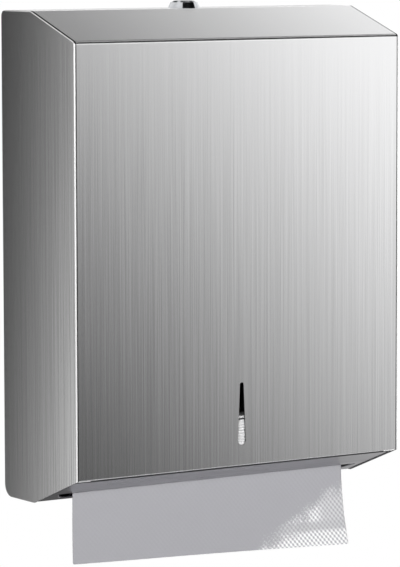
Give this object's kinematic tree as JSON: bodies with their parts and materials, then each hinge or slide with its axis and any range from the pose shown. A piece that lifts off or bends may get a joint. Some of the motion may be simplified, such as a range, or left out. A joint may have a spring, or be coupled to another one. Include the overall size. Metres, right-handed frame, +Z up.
{
  "type": "paper towel dispenser",
  "caption": "Wall-hung folded paper towel dispenser in brushed steel sheet, with a key-locked cover that drops forward on a concealed hinge and a slot that feeds towels from below.",
  "frame": {"origin": "centre of the four wall holes, on the wall plane", "axes": "+Z up, +Y into the wall, front towards -Y, +X to the viewer's right"},
  "size_m": [0.275, 0.1, 0.4012],
  "materials": {
    "front_steel": "vertical satin brush",
    "cheek_steel": "vertical satin brush",
    "body_steel": "mill finish",
    "pan_steel": "smooth satin",
    "inner_steel": "mill finish",
    "hinge_steel": "mill finish",
    "zinc_steel": "zinc plated",
    "lock_chrome": "polished",
    "plug_chrome": "polished",
    "stack_paper": "matt tissue",
    "towel_paper": "dot-embossed tissue"
  },
  "bodies": {
    "cabinet": {"back_plate": "body_steel", "bottom_pan": "pan_steel", "towel_rest_front": "inner_steel", "towel_rest_rear": "inner_steel", "guide_left": "inner_steel", "guide_right": "inner_steel", "lock_keeper": "inner_steel", "hinge_leaf_fixed": "hinge_steel", "hinge_pin": "hinge_steel", "towel_stack": "stack_paper"},
    "cover": {"cover_front": "front_steel", "cheek_left": "cheek_steel", "cheek_right": "cheek_steel", "hinge_leaf_moving": "hinge_steel", "lock_body": "lock_chrome", "lock_washer": "zinc_steel", "lock_nut": "zinc_steel"},
    "lock_rotor": {"lock_plug": "plug_chrome", "lock_cam": "zinc_steel", "cam_screw": "zinc_steel"},
    "towel": {"leading_towel": "towel_paper"}
  },
  "joints": [
    {"name": "cover_open", "type": "hinge", "parent": "cabinet", "child": "cover", "pos_m": [0, -0.09665, -0.1489], "axis": [1, 0, 0], "range_deg": [0, 95]},
    {"name": "lock_turn", "type": "hinge", "parent": "cover", "child": "lock_rotor", "pos_m": [0, -0.0265, 0.1725], "axis": [0, 0, -1], "range_deg": [0, 90]},
    {"name": "towel_pull", "type": "slide", "parent": "cabinet", "child": "towel", "axis": [0, 0, -1], "range_m": [0, 0.015]}
  ]
}
